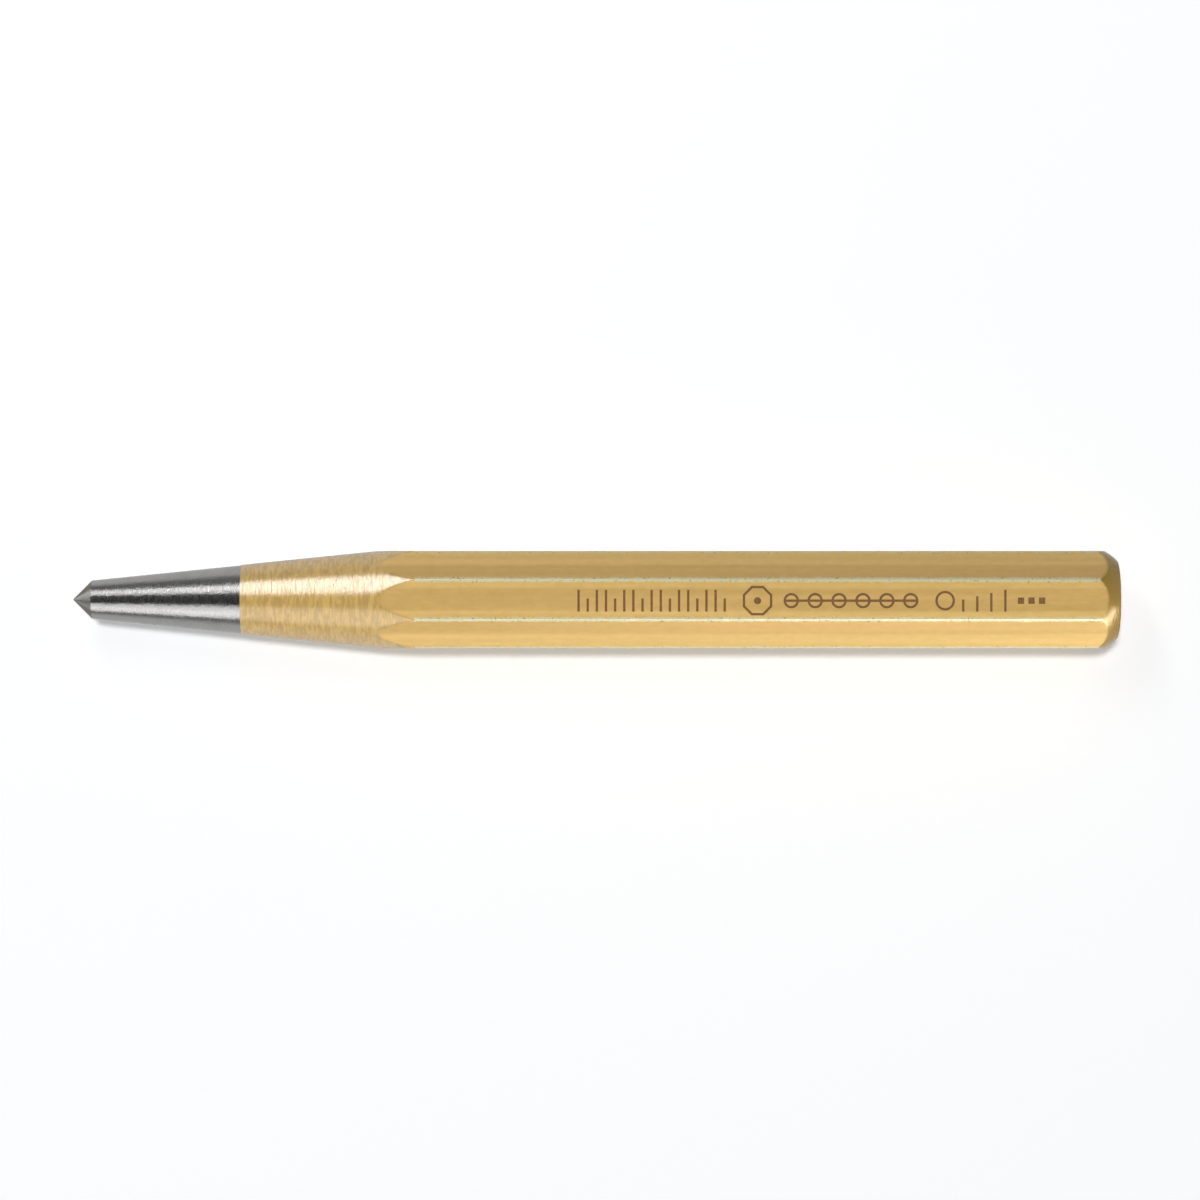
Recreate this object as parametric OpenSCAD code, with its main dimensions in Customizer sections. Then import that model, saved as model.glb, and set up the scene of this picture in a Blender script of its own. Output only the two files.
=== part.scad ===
// Center punch: one octagonal steel bar with a long round taper, a ground point
// and a crowned struck head, under a film of gold lacquer that stops short of the point.
// It lies along X with the point at -X, and rests on one of its flats at Z = 0.

/* [Bar] */
// Length from the point to the struck face, over the lacquer
total_len = 150; // [135:1:200]
// Width across two opposite flats, over the lacquer
across_flats = 14; // [12:0.5:18]
// How far the eight long edges are rounded down from sharp corners
edge_break = 0.1; // [0.04:0.01:0.3]

/* [Point] */
// Diameter where the ground point meets the long taper
point_d = 5.5; // [3:0.1:8]
// Included angle of the ground point
point_angle = 90; // [60:5:120]
// Diameter of the small flat at the very tip
tip_flat_d = 0.16; // [0.05:0.01:0.5]
// Included angle of the long taper
taper_angle = 11.6; // [9.4:0.1:20]
// Length of bare ground steel, from the tip to the edge of the lacquer
bare_len = 24.2; // [12:0.1:35]

/* [Head] */
// Radius of the ball that the crown is turned to, as a share of the width across flats
crown_share = 0.57; // [0.55:0.01:0.7]
// Radius of the flat struck face, as a share of the width across flats
face_share = 0.375; // [0.25:0.005:0.42]
// Radius of the edge between the crown and the struck face
face_edge_r = 0.6; // [0.2:0.1:1]

/* [Lacquer] */
// Thickness of the lacquer film
coat_t = 0.08; // [0.04:0.01:0.15]

/* [Marking] */
// Distance from the struck face to the end of the marking
mark_end_gap = 11; // [8:0.5:20]
// Height of the tallest marks
mark_h = 3.1; // [2:0.1:4]
// How far the marking sits to one side of the middle of its flat
mark_shift = 0.15; // [0:0.05:0.3]
// Width of a burnt line
stroke = 0.34; // [0.15:0.01:0.4]
// Thickness of the dark film that the laser leaves on the steel
mark_film_t = 0.02; // [0.01:0.005:0.03]

/* [Hidden] */
$fn = 96;

axis_z = across_flats / 2;
tip_x = -total_len / 2;
face_x = total_len / 2;

// The steel under the lacquer
steel_flats = across_flats - 2 * coat_t;
point_r = point_d / 2;
tip_flat_r = tip_flat_d / 2;
point_len = (point_r - tip_flat_r) / tan(point_angle / 2);
taper_slope = tan(taper_angle / 2);

// The marking, laid out along the top flat from its point end to its head end
large_gap = 2.4;
small_gap = 1.6;
tally_count = 17;
tally_pitch = 1.3;
tally_w = tally_pitch * (tally_count - 1) + stroke;
section_d = 4.2;
ring_count = 6;
ring_pitch = 3.4;
ring_d = 2.2;
chain_w = ring_pitch * (ring_count - 1) + ring_d;
gauge_d = 2.8;
gauge_count = 4;
gauge_pitch = 2;
gauge_w = gauge_d + gauge_pitch * (gauge_count - 0.5) + stroke;
dot_count = 3;
dot_pitch = 1.5;
dot_size = 0.9;
dots_w = dot_pitch * (dot_count - 1) + dot_size;
marking_w = tally_w + section_d + chain_w + gauge_w + dots_w + 2 * large_gap + 2 * small_gap;
tally_x = face_x - mark_end_gap - marking_w;
section_x = tally_x + tally_w + large_gap;
chain_x = section_x + section_d + small_gap;
gauge_x = chain_x + chain_w + large_gap;
dots_x = gauge_x + gauge_w + small_gap;

// Points on an arc, from one angle to another
function arc(centre, r, from, to, steps) =
    [for (i = [0:steps]) let (a = from + (to - from) * i / steps) centre + r * [cos(a), sin(a)]];

// Radius to the corners of an octagon of this width across flats
function corner_r(flats) = flats / 2 / cos(22.5);

// Half outline of the turned envelope, as [radius, distance from the tip].
// skin is the thickness of the lacquer that it takes in.
function turned_outline(skin) =
    let (
        // the rounded long edges lie on this radius
        rim_r = corner_r(steel_flats + 2 * skin) - edge_break,
        wall = skin / cos(taper_angle / 2),
        taper_end = point_len + (rim_r - point_r - wall) / taper_slope,
        end = total_len - coat_t + skin,
        edge_r = face_edge_r - coat_t + skin,
        edge_x = across_flats * face_share,
        edge_y = end - edge_r,
        // the rounded edge of the face touches the ball of the crown from inside
        ball_r = across_flats * crown_share - coat_t + skin,
        ball_y = edge_y - sqrt(pow(ball_r - edge_r, 2) - pow(edge_x, 2)),
        meet = acos(edge_x / (ball_r - edge_r))
    )
    concat(
        [[0, 0], [tip_flat_r + wall, 0], [point_r + wall, point_len], [rim_r, taper_end]],
        arc([0, ball_y], ball_r, acos(rim_r / ball_r), meet, 12),
        arc([edge_x, edge_y], edge_r, meet, 90, 6),
        [[0, end]]
    );

// Eight-sided bar with flats up and down, long enough to pass both ends
module bar_flats(skin) {
    rotate([0, 90, 0])
        rotate([0, 0, 22.5])
            cylinder(r = corner_r(steel_flats + 2 * skin), h = total_len + 2, center = true, $fn = 8);
}

// The whole punch, with this thickness of lacquer on the steel
module punch_form(skin) {
    translate([0, 0, axis_z])
        intersection() {
            bar_flats(skin);
            translate([tip_x, 0, 0])
                rotate([0, 90, 0])
                    rotate_extrude()
                        polygon(turned_outline(skin));
        }
}

// Box around the stretch that stays free of lacquer
module bare_stretch() {
    translate([tip_x - 1, -across_flats, -1])
        cube([bare_len + 1, 2 * across_flats, across_flats + 2]);
}

// One upright line, standing on the lower edge of the marking
module upright(x, h) {
    translate([x, -mark_h / 2])
        square([stroke, h]);
}

// One ring, drawn to the right of x
module ring(x, d) {
    translate([x + d / 2, 0])
        difference() {
            circle(d = d);
            circle(d = d - 2 * stroke);
        }
}

// A tally of uprights, the middle one of each three shorter
module tally() {
    for (i = [0:tally_count - 1])
        upright(i * tally_pitch, i % 3 == 1 ? mark_h * 0.6 : mark_h);
}

// The bar's own eight-sided section, with a dot on its axis
module section_sign() {
    translate([section_d / 2, 0])
        rotate(22.5) {
            difference() {
                circle(r = corner_r(section_d), $fn = 8);
                circle(r = corner_r(section_d - 2 * stroke), $fn = 8);
            }
            circle(d = 3 * stroke);
        }
}

// A scribed line with rings spaced along it, as when holes are laid out
module hole_chain() {
    translate([0, -stroke / 2])
        square([chain_w, stroke]);
    for (i = [0:ring_count - 1])
        ring(i * ring_pitch, ring_d);
}

// A ring for the round point, and bars that grow towards the head
module gauge() {
    ring(0, gauge_d);
    for (i = [1:gauge_count])
        upright(gauge_d + (i - 0.5) * gauge_pitch, mark_h * (0.4 + 0.6 * i / gauge_count));
}

// Three small squares
module dots() {
    for (i = [0:dot_count - 1])
        translate([i * dot_pitch, -dot_size / 2])
            square(dot_size);
}

// The whole marking, in the plane of its flat
module marking() {
    translate([0, -mark_shift]) {
        translate([tally_x, 0]) tally();
        translate([section_x, 0]) section_sign();
        translate([chain_x, 0]) hole_chain();
        translate([gauge_x, 0]) gauge();
        translate([dots_x, 0]) dots();
    }
}

module steel_punch() {
    color("silver")
        punch_form(0);
}

module lacquer_coat() {
    color("goldenrod")
        difference() {
            punch_form(coat_t);
            punch_form(0);
            bare_stretch();
            translate([0, 0, across_flats - coat_t])
                linear_extrude(2 * coat_t)
                    marking();
        }
}

module laser_marks() {
    color("saddlebrown")
        translate([0, 0, across_flats - coat_t])
            linear_extrude(mark_film_t)
                marking();
}

steel_punch();
lacquer_coat();
laser_marks();
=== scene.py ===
"""Center punch: a turned octagonal steel bar under gold lacquer, with burnt marks on one flat."""

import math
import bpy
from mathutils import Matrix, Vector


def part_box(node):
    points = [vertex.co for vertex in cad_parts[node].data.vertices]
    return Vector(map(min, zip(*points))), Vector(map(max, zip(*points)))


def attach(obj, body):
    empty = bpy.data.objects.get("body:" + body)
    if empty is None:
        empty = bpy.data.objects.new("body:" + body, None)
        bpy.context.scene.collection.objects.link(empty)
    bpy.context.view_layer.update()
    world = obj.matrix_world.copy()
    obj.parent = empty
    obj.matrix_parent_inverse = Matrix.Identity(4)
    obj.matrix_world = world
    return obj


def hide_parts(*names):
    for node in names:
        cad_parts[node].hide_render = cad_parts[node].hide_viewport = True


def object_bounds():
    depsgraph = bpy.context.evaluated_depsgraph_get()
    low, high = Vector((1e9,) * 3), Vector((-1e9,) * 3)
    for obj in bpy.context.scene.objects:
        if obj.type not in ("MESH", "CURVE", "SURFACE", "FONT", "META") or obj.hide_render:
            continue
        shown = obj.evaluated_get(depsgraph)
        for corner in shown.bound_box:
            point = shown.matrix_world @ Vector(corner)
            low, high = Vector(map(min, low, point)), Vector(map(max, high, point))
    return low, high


bl_info = {
    "name": "Center Punch",
    "version": (1, 0, 0),
    "blender": (4, 5, 0),
    "location": "View3D > Sidebar > Punch",
    "description": "Builds the bar, the lacquer film and the burnt marks of a center punch, and a stage",
    "category": "Object",
}

import bmesh
import bpy
import numpy as np
from bpy.props import FloatProperty, FloatVectorProperty, IntProperty, PointerProperty
from mathutils import Vector, noise

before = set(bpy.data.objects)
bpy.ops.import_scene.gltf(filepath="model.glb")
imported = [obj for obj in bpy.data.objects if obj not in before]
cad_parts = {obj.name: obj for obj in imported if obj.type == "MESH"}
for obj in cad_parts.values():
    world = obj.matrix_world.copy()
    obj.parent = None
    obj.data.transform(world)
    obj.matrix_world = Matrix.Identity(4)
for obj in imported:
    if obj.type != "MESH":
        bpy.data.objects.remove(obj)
CAD_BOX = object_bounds()
STEEL_LOW, STEEL_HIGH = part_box("steel_punch")
COAT_LOW, COAT_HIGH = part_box("lacquer_coat")
MARKS_LOW, MARKS_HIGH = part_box("laser_marks")

MM = 0.001
TIP_X = STEEL_LOW.x
COAT_START_X = COAT_LOW.x
HALF_FLATS = COAT_HIGH.y
AXIS_Z = (COAT_LOW.z + COAT_HIGH.z) / 2
COAT_T = COAT_HIGH.z - STEEL_HIGH.z
SIDES = 8
HALF_TURN = math.pi / SIDES

# How sharp a crease stays sharp, how softly the creases round the flats are blended, and the places of
# the rows next to those creases: distances along the bar from the crease, the tuples in millimetres.
SHARP = math.radians(40)
TAPER_BLEND = 0.06 * MM
CROWN_BLEND = 0.12 * MM
FLATS_AFTER_TAPER = 1.5 * MM
FLATS_BEFORE_CROWN = 0.9 * MM
ROWS_ROUND_TAPER_END = (-1.1, -0.8, -0.55, -0.35, -0.2, -0.08, 0, 0.08, 0.2, 0.35, 0.55, 0.8, 1.1)
ROWS_BEFORE_CROWN = (-0.65, -0.45, -0.3, -0.2, -0.1)

# Size of the small break between the ground point and the taper.
POINT_BREAK = 0.05 * MM


# ---------------------------------------------------------------- settings


class PunchShape(bpy.types.PropertyGroup):
    """Sizes of the turned and ground shape."""

    point_diameter: FloatProperty(
        name="Point diameter",
        description="Diameter where the ground point meets the long taper",
        default=5.5 * MM,
        unit="LENGTH",
    )
    point_angle: FloatProperty(
        name="Point angle",
        description="Included angle of the ground point",
        default=math.radians(90),
        subtype="ANGLE",
    )
    tip_flat: FloatProperty(
        name="Tip flat",
        description="Diameter of the small flat at the very tip",
        default=0.16 * MM,
        unit="LENGTH",
    )
    taper_angle: FloatProperty(
        name="Taper angle",
        description="Included angle of the long taper",
        default=math.radians(11.6),
        subtype="ANGLE",
    )
    edge_round: FloatProperty(
        name="Long edge rounding",
        description="Radius of the eight long edges",
        default=0.3 * MM,
        unit="LENGTH",
    )
    flat_swell: FloatProperty(
        name="Flat swell",
        description="How far each flat has turned down where it meets the rounded edge",
        default=math.radians(1.4),
        subtype="ANGLE",
    )
    # The pale edge line that this reaches out to is partly wear and partly a painted highlight of the
    # rounded edges.
    rim_reach: FloatProperty(
        name="Rim reach",
        description="How far from a long edge its wear can reach",
        default=0.9 * MM,
        unit="LENGTH",
    )
    crown_radius: FloatProperty(
        name="Crown radius",
        description="Radius of the ball that the crown of the head is turned to",
        default=7.98 * MM,
        unit="LENGTH",
    )
    face_radius: FloatProperty(
        name="Struck face radius",
        description="Radius of the flat struck face, inside its rounded edge",
        default=5.25 * MM,
        unit="LENGTH",
    )
    face_edge: FloatProperty(
        name="Struck face edge",
        description="Radius of the edge between the crown and the struck face",
        default=0.6 * MM,
        unit="LENGTH",
    )
    turning_depth: FloatProperty(
        name="Turning depth",
        description="Height of the turning ridges on the bare taper",
        default=0.0016 * MM,
        unit="LENGTH",
    )
    nick_depth: FloatProperty(
        name="Nick depth",
        description="Depth of the small nicks in the long edges",
        default=0.05 * MM,
        unit="LENGTH",
    )


class PunchFinish(bpy.types.PropertyGroup):
    """Colours of the three finishes."""

    steel: FloatVectorProperty(
        name="Steel",
        description="Bare turned steel",
        subtype="COLOR",
        size=4,
        default=(0.57, 0.565, 0.555, 1),
    )
    ground: FloatVectorProperty(
        name="Ground steel",
        description="The coarser ground steel of the point",
        subtype="COLOR",
        size=4,
        default=(0.36, 0.345, 0.32, 1),
    )
    gold: FloatVectorProperty(
        name="Gold lacquer",
        description="Lacquer on the flats",
        subtype="COLOR",
        size=4,
        default=(0.75, 0.47, 0.16, 1),
    )
    gold_deep: FloatVectorProperty(
        name="Deep gold lacquer",
        description="Lacquer where the film is thicker",
        subtype="COLOR",
        size=4,
        default=(0.63, 0.41, 0.125, 1),
    )
    gold_head: FloatVectorProperty(
        name="Head lacquer",
        description="Lacquer over the crown and the struck face",
        subtype="COLOR",
        size=4,
        default=(0.5, 0.31, 0.07, 1),
    )
    # The pale line along the long edges and round the crown's crease: partly thin lacquer where it is worn,
    # partly a painted highlight of the rounded edges.
    edge: FloatVectorProperty(
        name="Thin lacquer",
        description="Lacquer where it has drawn thin over an edge and the steel shows through",
        subtype="COLOR",
        size=4,
        default=(0.65, 0.59, 0.36, 1),
    )
    mark: FloatVectorProperty(
        name="Burnt mark",
        description="Oxide left by the laser",
        subtype="COLOR",
        size=4,
        default=(0.125, 0.06, 0.021, 1),
    )


class PunchDetail(bpy.types.PropertyGroup):
    """How finely the surfaces are divided."""

    flat_steps: IntProperty(name="Flat steps", description="Divisions across one flat", default=12, min=4)
    round_steps: IntProperty(name="Edge steps", description="Divisions round a long edge", default=6, min=2)
    taper_rows: IntProperty(name="Taper rows", description="Rows on the gold taper", default=90, min=10)
    shank_rows: IntProperty(name="Shank rows", description="Rows along the flats", default=280, min=20)
    crown_rows: IntProperty(name="Crown rows", description="Rows along the crown", default=18, min=4)
    bare_rows: IntProperty(name="Bare rows", description="Rows along the bare taper", default=250, min=10)


# ---------------------------------------------------------------- shape


def painted_sheen_bands(across):
    """Painted sheen and shade on each flat: paler along both edges if it is level, and over its lower half
    if it leans.
    """
    fade = 0.16
    bands = []
    for side in range(SIDES):
        lean = math.sin(2 * HALF_TURN * side)
        if abs(lean) < 0.1:
            pale = (np.abs(across) - 0.6) / fade
        else:
            pale = across * math.copysign(1, lean) / fade
        bands.append(np.clip(pale + 0.5, 0, 1))
    return np.concatenate(bands)


class BarOutline:
    """Outline of the eight-sided bar with rounded long edges, as angles from straight up and distances."""

    def __init__(self, half_flats, shape, detail):
        rounding = min(shape.edge_round, half_flats / 2)
        arc_half = HALF_TURN - shape.flat_swell
        reach = half_flats * math.sin(HALF_TURN) - rounding * math.sin(arc_half)
        reach /= math.cos(HALF_TURN) + math.sin(HALF_TURN) * shape.flat_swell / 2
        drop = shape.flat_swell * reach / 2
        border = 0.06 * MM
        inner = np.linspace(border - reach, reach - border, detail.flat_steps + 1)
        across = np.concatenate([[-reach], inner, [reach]])
        height = half_flats - drop * (across / reach) ** 2
        turn = np.linspace(-arc_half, arc_half, detail.round_steps + 1)[1:-1]
        centre = math.cos(HALF_TURN) * (half_flats - drop) + math.sin(HALF_TURN) * reach
        centre -= rounding * math.cos(arc_half)
        out, side = centre + rounding * np.cos(turn), rounding * np.sin(turn)
        angles = np.concatenate([np.arctan2(across, height), HALF_TURN + np.arctan2(side, out)])
        radii = np.concatenate([np.hypot(across, height), np.hypot(out, side)])
        edge = np.concatenate([[1], np.zeros(len(inner)), [1], np.ones(len(turn))])
        fillet = rounding * arc_half
        beside_flat = fillet + reach - np.abs(across)
        from_corner = np.concatenate([beside_flat, rounding * np.abs(turn)])
        self.angle = np.concatenate([angles + 2 * HALF_TURN * k for k in range(SIDES)])
        self.radius = np.tile(radii, SIDES)
        self.edge = np.tile(edge, SIDES)
        # rim: nearness to a long edge, which sets the pale edge line: partly wear, partly painted highlight.
        self.rim = np.tile(np.clip(1 - from_corner / shape.rim_reach, 0, 1), SIDES)
        # The pale and dark strips across each flat: painted sheen and painted shade.
        self.sheen_band = painted_sheen_bands(np.concatenate([across / reach, np.ones(len(turn))]))
        self.lean = shape.flat_swell / reach
        self.reach = reach
        self.columns = len(self.angle)


class TurnedShape:
    """The turned envelope of the punch, with this thickness of lacquer on the steel."""

    def __init__(self, shape, skin):
        self.point_r = shape.point_diameter / 2
        self.tip_r = shape.tip_flat / 2
        self.point_x = TIP_X + (self.point_r - self.tip_r) / math.tan(shape.point_angle / 2)
        self.slope = math.tan(shape.taper_angle / 2)
        self.wall = skin / math.cos(shape.taper_angle / 2)
        self.end_x = COAT_HIGH.x - COAT_T + skin
        self.face_r = shape.face_radius
        self.edge_r = shape.face_edge - COAT_T + skin
        self.ball_r = shape.crown_radius - COAT_T + skin
        self.edge_x = self.end_x - self.edge_r
        self.ball_x = self.edge_x - math.sqrt((self.ball_r - self.edge_r) ** 2 - self.face_r**2)
        self.meet = math.acos(self.face_r / (self.ball_r - self.edge_r))

    def taper_radius(self, x):
        return self.point_r + self.wall + (x - self.point_x) * self.slope

    def taper_end(self, radius):
        """Where the taper reaches this radius."""
        return self.point_x + (radius - self.point_r - self.wall) / self.slope

    def crown_start(self, radius):
        """Where the crown leaves this radius."""
        return self.ball_x + np.sqrt(self.ball_r**2 - radius**2)


def soft_min(a, b, blend):
    """The smaller of two radii, with the crease between them softened."""
    return (a + b - np.sqrt((a - b) ** 2 + blend**2)) / 2


def level_row(bar, x, radius):
    """A round row, square to the axis."""
    same = 0 * bar.radius
    return x + same, radius + same


def taper_rows(turned, bar, start_x, count):
    """Rows from start_x to just past the scalloped end of the taper, closer together near it."""
    end = turned.taper_end(bar.radius)
    rows = [start_x + (end - FLATS_AFTER_TAPER - start_x) * f for f in np.linspace(0, 1, count)]
    rows += [end + d * MM for d in ROWS_ROUND_TAPER_END]
    return [(x + 0 * bar.radius, soft_min(turned.taper_radius(x), bar.radius, TAPER_BLEND)) for x in rows]


def shank_rows(turned, bar, count):
    """Rows along the flats, between the taper and the crown."""
    start = turned.taper_end(bar.radius) + FLATS_AFTER_TAPER
    end = turned.crown_start(bar.radius) - FLATS_BEFORE_CROWN
    return [(start + (end - start) * f, bar.radius.copy()) for f in np.linspace(0, 1, count)]


def head_rows(turned, bar, count):
    """Rows over the crown, round the edge of the face and in to its middle."""
    start = turned.crown_start(bar.radius)
    rows = []
    for d in ROWS_BEFORE_CROWN:
        x = start + d * MM
        crown = np.sqrt(turned.ball_r**2 - (x - turned.ball_x) ** 2)
        rows.append((x, soft_min(crown, bar.radius, CROWN_BLEND)))
    first = np.arccos(bar.radius / turned.ball_r)
    for f in np.linspace(0, 1, count) ** 1.3:
        lift = first + (turned.meet - first) * f
        x = turned.ball_x + turned.ball_r * np.sin(lift)
        rows.append((x, soft_min(turned.ball_r * np.cos(lift), bar.radius, CROWN_BLEND)))
    edge_rows, face_rows = 7, 14
    for lift in np.linspace(turned.meet, math.pi / 2, edge_rows + 1)[1:]:
        x = turned.edge_x + turned.edge_r * math.sin(lift)
        rows.append(level_row(bar, x, turned.face_r + turned.edge_r * math.cos(lift)))
    for share in np.linspace(1, 0, face_rows + 2)[1:-1]:
        rows.append(level_row(bar, turned.end_x, turned.face_r * share))
    return rows


def skin_mesh(name, bar, rows, first_pole, last_pole):
    """A closed mesh of rings round the axis, from one point on the axis to another."""
    count = bar.columns
    x = np.concatenate([r[0] for r in rows])
    radius = np.concatenate([r[1] for r in rows])
    angle = np.tile(bar.angle, len(rows))
    ring = np.column_stack([x, radius * np.sin(angle), AXIS_Z + radius * np.cos(angle)])
    points = np.vstack([ring, [[first_pole, 0, AXIS_Z], [last_pole, 0, AXIS_Z]]])
    column = np.arange(count)
    beside = (column + 1) % count
    faces = []
    for row in range(len(rows) - 1):
        a, b = row * count, (row + 1) * count
        faces += np.column_stack([a + column, a + beside, b + beside, b + column]).tolist()
    last = (len(rows) - 1) * count
    faces += np.column_stack([beside, column, np.full(count, len(ring))]).tolist()
    faces += np.column_stack([last + column, last + beside, np.full(count, len(ring) + 1)]).tolist()
    mesh = bpy.data.meshes.new(name)
    mesh.from_pydata(points.tolist(), [], faces)
    mesh.validate()
    return mesh


def add_point_values(mesh, name, values):
    attribute = mesh.attributes.new(name, "FLOAT", "POINT")
    attribute.data.foreach_set("value", np.asarray(values, np.float32))


def shade_smooth(mesh):
    """Shades the faces smooth between sharp creases."""
    mesh.shade_smooth()
    mesh.set_sharp_from_angle(angle=SHARP)


def finish_mesh(mesh):
    """Turns the faces outwards and shades them."""
    work = bmesh.new()
    work.from_mesh(mesh)
    bmesh.ops.recalc_face_normals(work, faces=work.faces)
    work.to_mesh(mesh)
    work.free()
    shade_smooth(mesh)


def add_piece(name, mesh, material, node):
    """An object that rides on the tool and stands in for this node."""
    piece = bpy.data.objects.new(name, mesh)
    bpy.context.scene.collection.objects.link(piece)
    mesh.materials.clear()
    mesh.materials.append(material)
    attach(piece, "root")
    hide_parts(node)
    return piece


# ---------------------------------------------------------------- finishes


def toned(colour, factor):
    """The same colour, this much darker or lighter."""
    return tuple(min(1.0, part * factor) for part in colour[:3]) + (1.0,)


class Shader:
    """A node material, built a node at a time."""

    def __init__(self, name):
        self.material = bpy.data.materials.new(name)
        self.material.use_nodes = True
        self.nodes = self.material.node_tree.nodes
        self.links = self.material.node_tree.links
        self.surface = self.nodes["Principled BSDF"]

    def node(self, kind, **settings):
        made = self.nodes.new(kind)
        for key, value in settings.items():
            setattr(made, key, value)
        return made

    def plug(self, source, target):
        """Sets a socket to a constant, or links it to another node."""
        if isinstance(source, (int, float, tuple)):
            target.default_value = source
        else:
            self.links.new(source, target)

    def position(self, scale):
        """Place on the punch in millimetres, stretched by scale."""
        place = self.node("ShaderNodeTexCoord").outputs["Object"]
        mapping = self.node("ShaderNodeMapping")
        mapping.inputs["Scale"].default_value = tuple(s / MM for s in scale)
        self.plug(place, mapping.inputs["Vector"])
        return mapping.outputs["Vector"]

    def noise(self, scale, detail=2.0, roughness=0.5, distortion=0.0):
        made = self.node("ShaderNodeTexNoise")
        self.plug(self.position(scale), made.inputs["Vector"])
        made.inputs["Scale"].default_value = 1.0
        made.inputs["Detail"].default_value = detail
        made.inputs["Roughness"].default_value = roughness
        made.inputs["Distortion"].default_value = distortion
        return made.outputs["Fac"]

    def value(self, name):
        """A number stored on each point of the mesh."""
        return self.node("ShaderNodeAttribute", attribute_name=name).outputs["Fac"]

    def ramp(self, source, low, high, to_low=0.0, to_high=1.0):
        """A smooth change from to_low to to_high, as the source goes from low to high."""
        made = self.node("ShaderNodeMapRange", interpolation_type="SMOOTHSTEP")
        self.plug(source, made.inputs["Value"])
        settings = (("From Min", low), ("From Max", high), ("To Min", to_low), ("To Max", to_high))
        for key, number in settings:
            self.plug(number, made.inputs[key])
        return made.outputs["Result"]

    def math(self, operation, a, b, clamp=False):
        made = self.node("ShaderNodeMath", operation=operation, use_clamp=clamp)
        self.plug(a, made.inputs[0])
        self.plug(b, made.inputs[1])
        return made.outputs[0]

    def mix(self, share, a, b, blend="MIX"):
        """This share of colour b over colour a."""
        made = self.node("ShaderNodeMix", data_type="RGBA", blend_type=blend)
        self.plug(share, made.inputs["Factor"])
        self.plug(a, made.inputs["A"])
        self.plug(b, made.inputs["B"])
        return made.outputs["Result"]

    def blend(self, share, a, b):
        """This share of number b over number a."""
        made = self.node("ShaderNodeMix", data_type="FLOAT")
        self.plug(share, made.inputs["Factor"])
        self.plug(a, made.inputs["A"])
        self.plug(b, made.inputs["B"])
        return made.outputs["Result"]

    def bump(self, height, distance, strength=1.0, normal=None):
        made = self.node("ShaderNodeBump")
        made.inputs["Distance"].default_value = distance
        made.inputs["Strength"].default_value = strength
        self.plug(height, made.inputs["Height"])
        if normal is not None:
            self.plug(normal, made.inputs["Normal"])
        return made.outputs["Normal"]


def ground_steel(finish):
    """Bare steel: fine turning lines on the taper, coarser grinding on the point."""
    shader = Shader("ground_steel")
    surface = shader.surface
    ground = shader.value("ground")
    turning = shader.noise((4.0, 1.2, 1.2), detail=4.0, roughness=0.7)
    grinding = shader.noise((11.0, 0.5, 0.5), detail=3.0, roughness=0.7)
    smears = shader.noise((0.5, 0.35, 0.35), detail=3.0)
    tint = shader.mix(ground, tuple(finish.steel), tuple(finish.ground))
    colour = shader.mix(shader.ramp(smears, 0.5, 0.72, 0.0, 0.35), tint, toned(finish.steel, 0.78))
    shader.plug(colour, surface.inputs["Base Color"])
    polished = shader.ramp(turning, 0.3, 0.7, 0.24, 0.34)
    shader.plug(shader.blend(ground, polished, 0.5), surface.inputs["Roughness"])
    around = shader.node("ShaderNodeTangent", direction_type="RADIAL", axis="X")
    shader.plug(around.outputs["Tangent"], surface.inputs["Tangent"])
    surface.inputs["Anisotropic"].default_value = 0.9
    surface.inputs["Anisotropic Rotation"].default_value = 0.25
    scuffs = shader.noise((0.9, 1.7, 1.7), detail=4.0, roughness=0.6)
    lines = shader.blend(ground, turning, grinding)
    uneven = shader.bump(scuffs, 0.03 * MM)
    shader.plug(shader.bump(lines, 0.012 * MM, normal=uneven), surface.inputs["Normal"])
    surface.inputs["Metallic"].default_value = 1.0
    return shader.material


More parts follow.
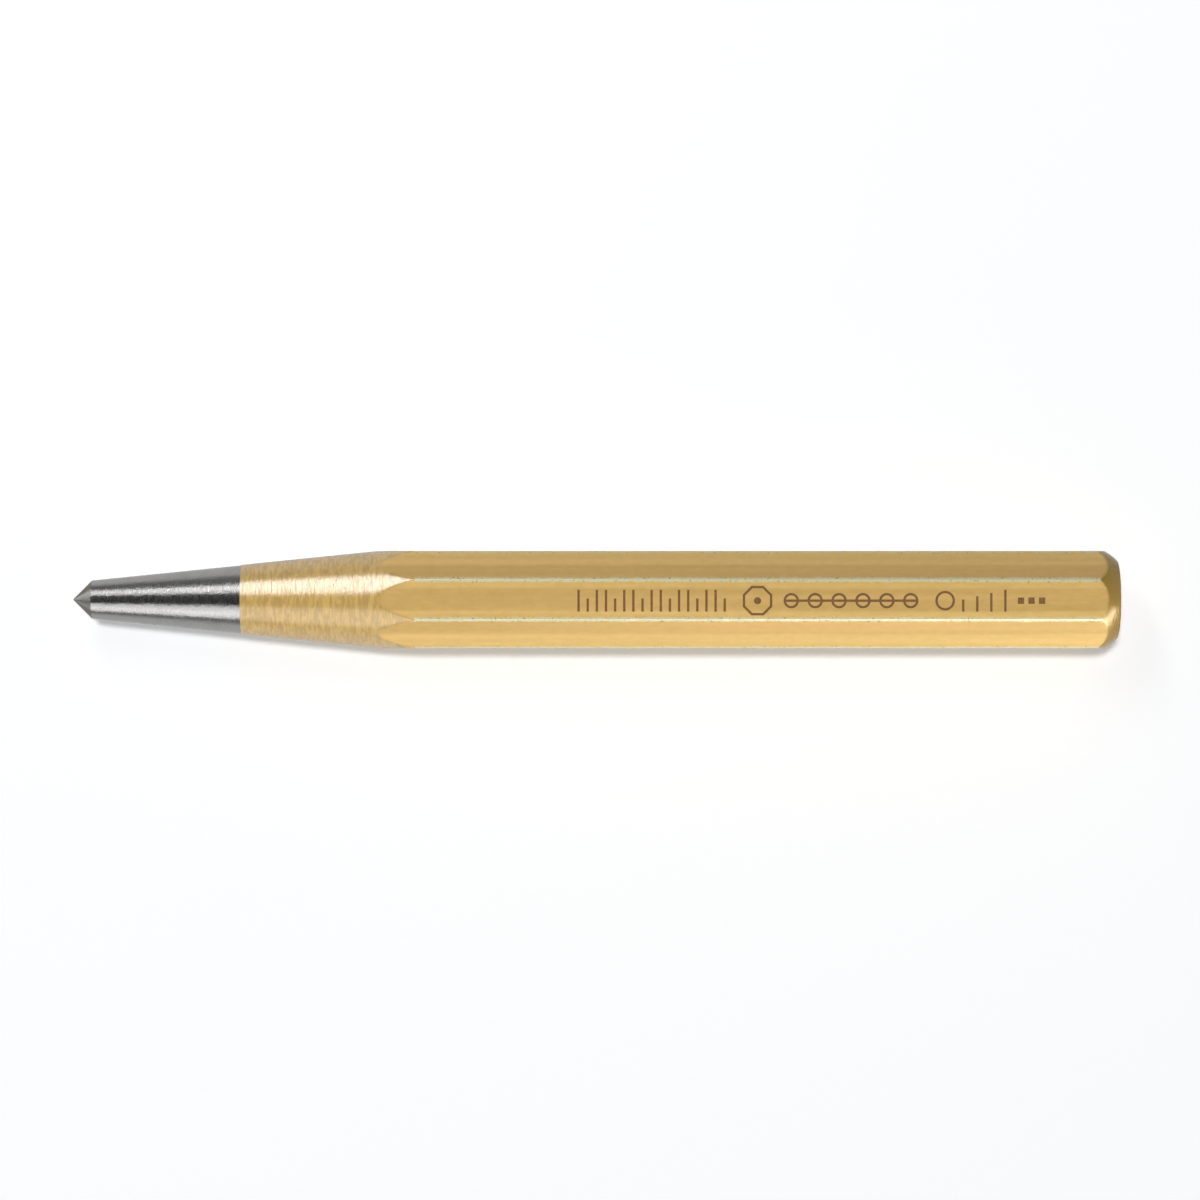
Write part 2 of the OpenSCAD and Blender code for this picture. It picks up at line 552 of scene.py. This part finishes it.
def gold_lacquer(finish):
    """Metallic lacquer: under a clear gloss on the turned taper and head, and satin on the drawn flats."""
    shader = Shader("gold_lacquer")
    surface = shader.surface
    turned, head, edge = shader.value("turned"), shader.value("head"), shader.value("edge")
    sheen_band = shader.value("sheen_band")
    mottle = shader.noise((0.7, 1.3, 1.3), detail=5.0, roughness=0.65)
    drawn = shader.noise((0.012, 0.75, 0.75), detail=2.0, roughness=0.5)
    flake = shader.noise((9.0, 9.0, 9.0), detail=2.0, roughness=0.8)
    turning = shader.noise((2.3, 0.55, 0.55), detail=3.0, roughness=0.6, distortion=0.5)
    chips = shader.noise((1.3, 1.1, 1.1), detail=5.0, roughness=0.75)
    specks = shader.noise((3.4, 2.8, 2.8), detail=2.0, roughness=0.6)
    depth = shader.math("ADD", shader.math("MULTIPLY", mottle, 0.5), shader.math("MULTIPLY", drawn, 0.5))
    gold = shader.mix(shader.ramp(depth, 0.3, 0.7), tuple(finish.gold_deep), tuple(finish.gold))
    gold = shader.mix(shader.ramp(flake, 0.66, 0.8, 0.0, 0.4), gold, toned(finish.gold, 1.4))
    # Strips across the flats: paler where they are painted sheen, darker where they are painted shade.
    gold = shader.mix(shader.ramp(sheen_band, 0.0, 1.0, 0.0, 0.14), gold, (1.0, 1.0, 1.0, 1.0), "SOFT_LIGHT")
    gold = shader.mix(shader.ramp(sheen_band, 0.0, 1.0, 0.1, 0.0), gold, (0.0, 0.0, 0.0, 1.0))
    grooves, ridges = toned(finish.gold_deep, 0.64), toned(finish.gold_deep, 0.86)
    gold = shader.mix(turned, gold, shader.mix(shader.ramp(turning, 0.38, 0.62), grooves, ridges))
    gold = shader.mix(head, gold, tuple(finish.gold_head))
    # The pale line along the edges: thin worn lacquer, with a painted highlight of the rounded edges on top.
    wear_and_glint = shader.math("ADD", edge, shader.ramp(chips, 0.2, 0.8, -0.2, 0.2))
    colour = shader.mix(shader.ramp(wear_and_glint, 0.5, 0.72), gold, tuple(finish.edge))
    dots = shader.ramp(specks, 0.6, 0.68, 0.0, 0.75)
    speckled = shader.math("MULTIPLY", shader.ramp(edge, 0.3, 0.6), dots)
    colour = shader.mix(speckled, colour, toned(finish.gold_deep, 0.3))
    shader.plug(colour, surface.inputs["Base Color"])
    satin = shader.ramp(depth, 0.3, 0.7, 0.38, 0.46)
    shader.plug(shader.blend(turned, satin, 0.26), surface.inputs["Roughness"])
    shader.plug(shader.blend(head, shader.blend(turned, 0.4, 0.1), 0.5), surface.inputs["Metallic"])
    fine = shader.bump(shader.math("ADD", flake, drawn), 0.006 * MM)
    wavy = shader.bump(turning, 0.08 * MM)
    bumpy = shader.node("ShaderNodeMix", data_type="VECTOR")
    shader.plug(turned, bumpy.inputs["Factor"])
    shader.plug(fine, bumpy.inputs["A"])
    shader.plug(wavy, bumpy.inputs["B"])
    shader.plug(bumpy.outputs["Result"], surface.inputs["Normal"])
    shader.plug(shader.blend(turned, 0.15, 1.0), surface.inputs["Coat Weight"])
    surface.inputs["Coat IOR"].default_value = 1.9
    surface.inputs["Coat Roughness"].default_value = 0.22
    gloss = shader.bump(shader.math("MULTIPLY", turning, turned), 0.028 * MM)
    shader.plug(gloss, surface.inputs["Coat Normal"])
    surface.inputs["IOR"].default_value = 1.65
    return shader.material


def laser_mark(finish):
    """Dark oxide, darker where the pulses overlap."""
    shader = Shader("laser_mark")
    surface = shader.surface
    pulses = shader.noise((4.5, 4.5, 4.5), detail=3.0, roughness=0.7)
    colour = shader.mix(shader.ramp(pulses, 0.4, 0.65), tuple(finish.mark), toned(finish.mark, 1.6))
    shader.plug(colour, surface.inputs["Base Color"])
    shader.plug(shader.ramp(pulses, 0.35, 0.65, 0.55, 0.8), surface.inputs["Roughness"])
    shader.plug(shader.bump(pulses, 0.008 * MM), surface.inputs["Normal"])
    surface.inputs["Metallic"].default_value = 0.2
    return shader.material


# ---------------------------------------------------------------- pieces


def uneven(along, around, depth):
    """Smooth noise in millimetres, from about -1 to 1."""
    return noise.noise(Vector((along, around, depth)))


def point_rows(turned, bar):
    """Rows over the ground point, and the small break where it meets the taper."""
    rows = [level_row(bar, TIP_X, turned.tip_r * share) for share in (0.5, 0.85)]
    for share in np.linspace(0, 1, 40)[1:-1] ** 1.2:
        radius = turned.tip_r + (turned.point_r - turned.tip_r) * share
        rows.append(level_row(bar, TIP_X + (turned.point_x - TIP_X) * share, radius))
    rows.append(level_row(bar, turned.point_x - 0.6 * POINT_BREAK, turned.point_r - 0.7 * POINT_BREAK))
    rows.append(level_row(bar, turned.point_x + 0.2 * POINT_BREAK, turned.point_r - 0.15 * POINT_BREAK))
    return rows


def bare_taper_rows(turned, bar, count, depth):
    """Rows along the bare taper, with turning ridges that come and go round the bar."""
    rows = []
    for x in np.linspace(turned.point_x + POINT_BREAK, COAT_START_X + 0.5 * MM, count):
        along = x / MM
        ridge = uneven(along * 3.1, 0.0, 4.7) + uneven(along * 7.3, 9.1, 0.0)
        sway = np.array([uneven(along * 1.3, math.sin(a), math.cos(a)) for a in bar.angle])
        ridges = depth * (ridge * (1 + 0.5 * sway) - 1)
        rows.append((x + 0 * bar.radius, turned.taper_radius(x) + ridges))
    return rows


class PUNCH_OT_steel_bar(bpy.types.Operator):
    """Build the steel bar, with its ground point and the turning lines on its bare taper"""

    bl_idname = "punch.steel_bar"
    bl_label = "Steel Bar"

    def execute(self, context):
        scene = context.scene
        shape, detail = scene.punch_shape, scene.punch_detail
        bar = BarOutline(HALF_FLATS - COAT_T, shape, detail)
        turned = TurnedShape(shape, 0.0)
        rows = point_rows(turned, bar)
        ground_points = len(rows) * bar.columns
        rows += bare_taper_rows(turned, bar, detail.bare_rows, shape.turning_depth)
        rows += taper_rows(turned, bar, COAT_START_X + 1.0 * MM, 10)
        rows += shank_rows(turned, bar, 8)
        rows += head_rows(turned, bar, 6)
        mesh = skin_mesh("steel_bar", bar, rows, TIP_X, turned.end_x)
        tip = len(mesh.vertices) - 2
        ground = np.zeros(len(mesh.vertices))
        ground[:ground_points] = 1.0
        ground[tip] = 1.0
        add_point_values(mesh, "ground", ground)
        finish_mesh(mesh)
        add_piece("steel_bar", mesh, ground_steel(scene.punch_finish), "steel_punch")
        return {"FINISHED"}


def nick_edges(rows, bar, turned, nick_depth):
    """Sinks small nicks into the long edges, between the taper and the crown."""
    fade = 0.5 * MM
    nicked = []
    for x, radius in rows:
        on_flats = np.clip((x - turned.taper_end(bar.radius)) / fade, 0, 1)
        on_flats *= np.clip((turned.crown_start(bar.radius) - x) / fade, 0, 1)
        depth = np.zeros(bar.columns)
        for column in np.nonzero(bar.edge * on_flats > 0)[0]:
            along, side = x[column] / MM, round(bar.angle[column] / HALF_TURN) * 3.7
            nick = uneven(along * 0.9, side, 0.0) + 0.5 * uneven(along * 2.3, side, 5.0)
            depth[column] = max(0.0, nick - 0.3) * bar.edge[column] * on_flats[column]
        nicked.append((x, radius - nick_depth * depth))
    return nicked


def cut_marks(coat):
    """Cuts the outlines of the burnt marks through the film, with the marks themselves made deeper."""
    tool_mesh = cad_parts["laser_marks"].data.copy()
    work = bmesh.new()
    work.from_mesh(tool_mesh)
    bmesh.ops.remove_doubles(work, verts=work.verts, dist=0.001 * MM)
    middle = (MARKS_LOW.z + MARKS_HIGH.z) / 2
    under, over = MARKS_LOW.z - 0.3 * COAT_T, COAT_HIGH.z + COAT_T
    for vertex in work.verts:
        vertex.co.z = under if vertex.co.z < middle else over
    bmesh.ops.recalc_face_normals(work, faces=work.faces)
    work.to_mesh(tool_mesh)
    work.free()
    tool = bpy.data.objects.new("mark_cutter", tool_mesh)
    bpy.context.scene.collection.objects.link(tool)
    cut = coat.modifiers.new("marks", "BOOLEAN")
    cut.operation = "DIFFERENCE"
    cut.solver = "MANIFOLD"
    cut.object = tool
    graph = bpy.context.evaluated_depsgraph_get()
    ready = coat.evaluated_get(graph)
    mesh = bpy.data.meshes.new_from_object(ready, preserve_all_data_layers=True, depsgraph=graph)
    coat.modifiers.clear()
    coat.data = mesh
    bpy.data.objects.remove(tool)


def smooth_flat(mesh, bar):
    """Shades the marked flat as one smooth surface, whatever small faces the cutting left on it."""
    lowest, widest, past = MARKS_HIGH.z - 0.3 * COAT_T, bar.reach - 0.1 * MM, MM
    normals = [corner.vector.copy() for corner in mesh.corner_normals]
    for face in mesh.polygons:
        points = [mesh.vertices[index].co for index in face.vertices]
        on_top = all(point.z > lowest and abs(point.y) < widest for point in points)
        if on_top and all(MARKS_LOW.x - past < point.x < MARKS_HIGH.x + past for point in points):
            for loop, point in zip(face.loop_indices, points):
                normals[loop] = Vector((0, bar.lean * point.y, 1)).normalized()
    mesh.normals_split_custom_set(normals)


def mark_film(mesh, bar, turned, rows, lining_rows):
    """Stores on the film its pale edge line (thin worn lacquer and a painted highlight of the edges and of
    the crease round the crown), where it is turned, where it is on the head, and its strips of painted sheen
    and shade.
    """
    x = np.concatenate([row[0] for row in rows])
    radius = np.tile(bar.radius, len(rows))
    past_taper = np.clip((x - turned.taper_end(radius)) / (0.9 * MM), 0, 1)
    before_crown = np.clip((turned.crown_start(radius) - x) / (0.4 * MM) + 0.5, 0, 1)
    on_flats = past_taper * before_crown
    # The crease round the crown gets part of the pale edge line as well: a painted highlight there.
    crease = np.clip(1 - np.abs(turned.crown_start(radius) - x) / (0.6 * MM), 0, 1)
    edge = np.maximum(np.tile(bar.rim, len(rows)) * on_flats, 0.56 * crease)
    lining = np.zeros(lining_rows * bar.columns)
    add_point_values(mesh, "edge", np.concatenate([lining, edge, [0, 0]]))
    add_point_values(mesh, "turned", np.concatenate([lining, 1 - on_flats, [1, 1]]))
    add_point_values(mesh, "head", np.concatenate([lining, 1 - before_crown, [1, 1]]))
    # Strips of painted sheen and painted shade across the flats.
    add_point_values(mesh, "sheen_band", np.concatenate([lining, np.tile(bar.sheen_band, len(rows)), [0, 0]]))


class PUNCH_OT_lacquer_film(bpy.types.Operator):
    """Build the lacquer film, open at the front, with the marks cut through it"""

    bl_idname = "punch.lacquer_film"
    bl_label = "Lacquer Film"

    def execute(self, context):
        scene = context.scene
        shape, detail = scene.punch_shape, scene.punch_detail
        outer_bar = BarOutline(HALF_FLATS, shape, detail)
        inner_bar = BarOutline(HALF_FLATS - COAT_T, shape, detail)
        inner_bar.angle = outer_bar.angle
        outer, inner = TurnedShape(shape, COAT_T), TurnedShape(shape, 0.0)
        rows = taper_rows(outer, outer_bar, COAT_START_X, detail.taper_rows)
        rows += shank_rows(outer, outer_bar, detail.shank_rows)
        rows += head_rows(outer, outer_bar, detail.crown_rows)
        rows = nick_edges(rows, outer_bar, outer, shape.nick_depth)
        lining = taper_rows(inner, inner_bar, COAT_START_X, 6)
        lining += shank_rows(inner, inner_bar, 10)
        lining += head_rows(inner, inner_bar, 6)
        mesh = skin_mesh("lacquer_film", outer_bar, lining[::-1] + rows, inner.end_x, outer.end_x)
        mark_film(mesh, outer_bar, outer, rows, len(lining))
        finish_mesh(mesh)
        lacquer = gold_lacquer(scene.punch_finish)
        coat = add_piece("lacquer_film", mesh, lacquer, "lacquer_coat")
        cut_marks(coat)
        shade_smooth(coat.data)
        smooth_flat(coat.data, outer_bar)
        return {"FINISHED"}


class PUNCH_OT_burnt_marks(bpy.types.Operator):
    """Give the burnt marks their oxide finish"""

    bl_idname = "punch.burnt_marks"
    bl_label = "Burnt Marks"

    def execute(self, context):
        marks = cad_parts["laser_marks"]
        marks.material_slots[0].material = laser_mark(context.scene.punch_finish)
        return {"FINISHED"}


# ---------------------------------------------------------------- stage


class PunchLight(bpy.types.PropertyGroup):
    """Radiance of the softboxes, and strength of the light overhead and of the floor's own glow."""

    back_box: FloatProperty(name="Back box", description="Behind, for the steel", default=5.2, min=0)
    film_box: FloatProperty(name="Film box", description="Behind, for the lacquer", default=8.0, min=0)
    front_box: FloatProperty(name="Front box", description="Long, in front", default=0.95, min=0)
    head_box: FloatProperty(name="Head box", description="Small, in front of the head", default=7.4, min=0)
    point_box: FloatProperty(name="Point box", description="Low, past the point", default=7.0, min=0)
    tail_box: FloatProperty(name="Tail box", description="Low, past the head", default=3.0, min=0)
    key: FloatProperty(name="Key", description="Light overhead", default=1.85, min=0)
    floor_glow: FloatProperty(name="Floor glow", description="Light from the floor", default=0.36, min=0)


def softbox(name, place, size, radiance, hardness):
    """A light facing the bar, fading towards its two long sides, more suddenly the harder it is."""
    data = bpy.data.lights.new(name, "AREA")
    data.shape = "RECTANGLE"
    data.size, data.size_y = size
    data.energy = radiance * math.pi * size[0] * size[1]
    data.use_nodes = True
    nodes, links = data.node_tree.nodes, data.node_tree.links
    split = nodes.new("ShaderNodeSeparateXYZ")
    links.new(nodes.new("ShaderNodeNewGeometry").outputs["Parametric"], split.inputs[0])
    source = split.outputs["Y"]
    steps = (("MULTIPLY", math.pi), ("SINE", None), ("MULTIPLY", hardness), ("MINIMUM", 1.0))
    for operation, value in steps:
        step = nodes.new("ShaderNodeMath")
        step.operation = operation
        links.new(source, step.inputs[0])
        if value is not None:
            step.inputs[1].default_value = value
        source = step.outputs[0]
    links.new(source, nodes["Emission"].inputs["Strength"])
    lamp = bpy.data.objects.new(name, data)
    lamp.location = place
    lamp.visible_camera = False
    bpy.context.scene.collection.objects.link(lamp)
    return lamp


def spare(things, *lamps):
    """Keeps these lights off these things."""
    spared = bpy.data.collections.new("spared")
    for index, thing in enumerate(things):
        spared.objects.link(thing)
        spared.collection_objects[index].light_linking.link_state = "EXCLUDE"
    for lamp in lamps:
        lamp.light_linking.receiver_collection = spared


def box_beside(name, start_angle, end_angle, radiance, reach, centre_x, hardness):
    """A softbox along the bar, between two angles from straight up, towards +Y if they are positive."""
    distance = 0.42
    middle, half = (start_angle + end_angle) / 2, (end_angle - start_angle) / 2
    width = 2 * distance * math.tan(abs(half))
    place = (centre_x, distance * math.sin(middle), AXIS_Z + distance * math.cos(middle))
    lamp = softbox(name, place, (reach, width), radiance, hardness)
    lamp.rotation_euler = (-middle, 0, 0)
    return lamp


def box_facing(name, target_x, bearing, rise, radiance, size, hardness=3.0):
    """A softbox facing a place on the bar, from this bearing round from +X and this rise over the floor."""
    distance = 0.35
    level = math.cos(rise)
    toward = Vector((level * math.cos(bearing), level * math.sin(bearing), math.sin(rise)))
    target = Vector((target_x, 0, AXIS_Z))
    lamp = softbox(name, target + distance * toward, size, radiance, hardness)
    lamp.rotation_euler = toward.to_track_quat("Z", "Y").to_euler()
    return lamp


def plain_floor(glow):
    """A pale paper floor just under the tool, that glows a little and isn't seen in the metal."""
    half = 1.5
    mesh = bpy.data.meshes.new("floor")
    corners = [(-half, -half, 0), (half, -half, 0), (half, half, 0), (-half, half, 0)]
    mesh.from_pydata(corners, [], [(0, 1, 2, 3)])
    floor = bpy.data.objects.new("floor", mesh)
    floor.location.z = CAD_BOX[0].z - 0.01 * MM
    floor.visible_glossy = False
    bpy.context.scene.collection.objects.link(floor)
    shader = Shader("floor_paper")
    shader.surface.inputs["Base Color"].default_value = (0.88, 0.89, 0.9, 1)
    shader.surface.inputs["Roughness"].default_value = 0.9
    shader.surface.inputs["Specular IOR Level"].default_value = 0.1
    shader.surface.inputs["Emission Color"].default_value = (0.98, 0.99, 1, 1)
    shader.surface.inputs["Emission Strength"].default_value = glow
    mesh.materials.append(shader.material)
    return floor


def dim_room():
    """A room that is dark overhead and past the head, paler down to the floor, and pale where it is seen."""
    world = bpy.data.worlds.new("studio")
    bpy.context.scene.world = world
    world.use_nodes = True
    nodes, links = world.node_tree.nodes, world.node_tree.links
    nodes.clear()
    place = nodes.new("ShaderNodeTexCoord")
    split = nodes.new("ShaderNodeSeparateXYZ")
    height = nodes.new("ShaderNodeMapRange")
    height.inputs["From Min"].default_value = -1.0
    height.inputs["From Max"].default_value = 1.0
    room = nodes.new("ShaderNodeValToRGB")
    ramp = room.color_ramp
    ramp.interpolation = "EASE"
    level_at_height = ((-0.3, 0.54), (-0.07, 0.42), (0.12, 0.15), (0.8, 0.02))
    while len(ramp.elements) < len(level_at_height):
        ramp.elements.new(0.5)
    for element, (rise, level) in zip(ramp.elements, level_at_height):
        element.position = (rise + 1) / 2
        element.color = (level, level, level, 1)
    path = nodes.new("ShaderNodeLightPath")
    shown = nodes.new("ShaderNodeMix")
    shown.data_type = "RGBA"
    shown.inputs["B"].default_value = (0.95, 0.95, 0.95, 1)
    background = nodes.new("ShaderNodeBackground")
    output = nodes.new("ShaderNodeOutputWorld")
    dark_end = nodes.new("ShaderNodeMapRange")
    dark_end.inputs["From Min"].default_value = 0.1
    dark_end.inputs["From Max"].default_value = 0.7
    dark_end.inputs["To Min"].default_value = 1.0
    dark_end.inputs["To Max"].default_value = 0.3
    dimmed = nodes.new("ShaderNodeMix")
    dimmed.data_type = "RGBA"
    dimmed.blend_type = "MULTIPLY"
    dimmed.inputs["Factor"].default_value = 1.0
    links.new(place.outputs["Generated"], split.inputs[0])
    links.new(split.outputs["Z"], height.inputs["Value"])
    links.new(split.outputs["X"], dark_end.inputs["Value"])
    links.new(height.outputs["Result"], room.inputs["Fac"])
    links.new(room.outputs["Color"], dimmed.inputs["A"])
    links.new(dark_end.outputs["Result"], dimmed.inputs["B"])
    links.new(path.outputs["Is Camera Ray"], shown.inputs["Factor"])
    links.new(dimmed.outputs["Result"], shown.inputs["A"])
    links.new(shown.outputs["Result"], background.inputs["Color"])
    links.new(background.outputs[0], output.inputs[0])


def studio_boxes(light, floor):
    """The softboxes. One of those behind is for the steel and the other is for the lacquer."""
    rad = math.radians
    back = box_beside("back_box", rad(21), rad(55), light.back_box, 0.08, -0.137, 1.5)
    film = box_beside("film_box", rad(12), rad(64), light.film_box, 0.08, -0.137, 1.6)
    front = box_beside("front_box", -rad(21), -rad(73), light.front_box, 1.2, 0.0, 3.0)
    head = box_facing("head_box", COAT_HIGH.x, rad(-70), rad(35), light.head_box, (0.24, 0.18))
    point = box_facing("point_box", TIP_X, rad(160), rad(8), light.point_box, (0.3, 0.09))
    tail = box_facing("tail_box", COAT_HIGH.x, rad(-38), rad(12), light.tail_box, (0.3, 0.12))
    steel, lacquer = bpy.data.objects["steel_bar"], bpy.data.objects["lacquer_film"]
    spare([floor], front, head, point, tail)
    spare([lacquer], back)
    spare([floor, steel], film)


def overhead_light(strength):
    """A soft light nearly straight above, that casts the short shadow and isn't seen in the metal."""
    sun = bpy.data.lights.new("key", "SUN")
    sun.energy = strength
    sun.angle = math.radians(7)
    key = bpy.data.objects.new("key", sun)
    key.rotation_euler = (math.radians(-7.5), math.radians(-4), 0)
    key.visible_glossy = False
    bpy.context.scene.collection.objects.link(key)


def camera_above():
    """A long lens that looks straight down on the tool."""
    height, span = 0.74, 172.4 * MM
    data = bpy.data.cameras.new("camera")
    data.sensor_width = 36
    data.lens = data.sensor_width * height / span
    data.clip_start, data.clip_end = 0.01, 10
    data.dof.use_dof = False
    camera = bpy.data.objects.new("camera", data)
    camera.location = (0.64 * MM, -0.06 * MM, AXIS_Z + height)
    bpy.context.scene.collection.objects.link(camera)
    bpy.context.scene.camera = camera


class PUNCH_OT_stage(bpy.types.Operator):
    """Set up the pale floor, the soft studio light and the camera straight above"""

    bl_idname = "punch.stage"
    bl_label = "Stage"

    def execute(self, context):
        light = context.scene.punch_light
        floor = plain_floor(light.floor_glow)
        dim_room()
        studio_boxes(light, floor)
        overhead_light(light.key)
        camera_above()
        context.scene.view_settings.view_transform = "Standard"
        return {"FINISHED"}


# ---------------------------------------------------------------- panel and registration


class PUNCH_PT_sidebar(bpy.types.Panel):
    """Buttons for the pieces of the punch"""

    bl_idname = "PUNCH_PT_sidebar"
    bl_label = "Center Punch"
    bl_space_type = "VIEW_3D"
    bl_region_type = "UI"
    bl_category = "Punch"

    def draw(self, context):
        layout = self.layout
        for group in ("punch_shape", "punch_finish", "punch_detail", "punch_light"):
            settings = getattr(context.scene, group)
            box = layout.box()
            for key in settings.bl_rna.properties.keys():
                if key not in ("name", "rna_type"):
                    box.prop(settings, key)
        for operator in OPERATORS:
            layout.operator(operator.bl_idname)


GROUPS = (PunchShape, PunchFinish, PunchDetail, PunchLight)
OPERATORS = (PUNCH_OT_steel_bar, PUNCH_OT_lacquer_film, PUNCH_OT_burnt_marks, PUNCH_OT_stage)
CLASSES = GROUPS + OPERATORS + (PUNCH_PT_sidebar,)


def register():
    for cls in CLASSES:
        bpy.utils.register_class(cls)
    bpy.types.Scene.punch_shape = PointerProperty(type=PunchShape)
    bpy.types.Scene.punch_finish = PointerProperty(type=PunchFinish)
    bpy.types.Scene.punch_detail = PointerProperty(type=PunchDetail)
    bpy.types.Scene.punch_light = PointerProperty(type=PunchLight)


def unregister():
    for key in ("punch_shape", "punch_finish", "punch_detail", "punch_light"):
        delattr(bpy.types.Scene, key)
    for cls in reversed(CLASSES):
        bpy.utils.unregister_class(cls)


def main():
    register()
    bpy.ops.punch.steel_bar()
    bpy.ops.punch.lacquer_film()
    bpy.ops.punch.burnt_marks()
    bpy.ops.punch.stage()


if __name__ == "__main__":
    main()
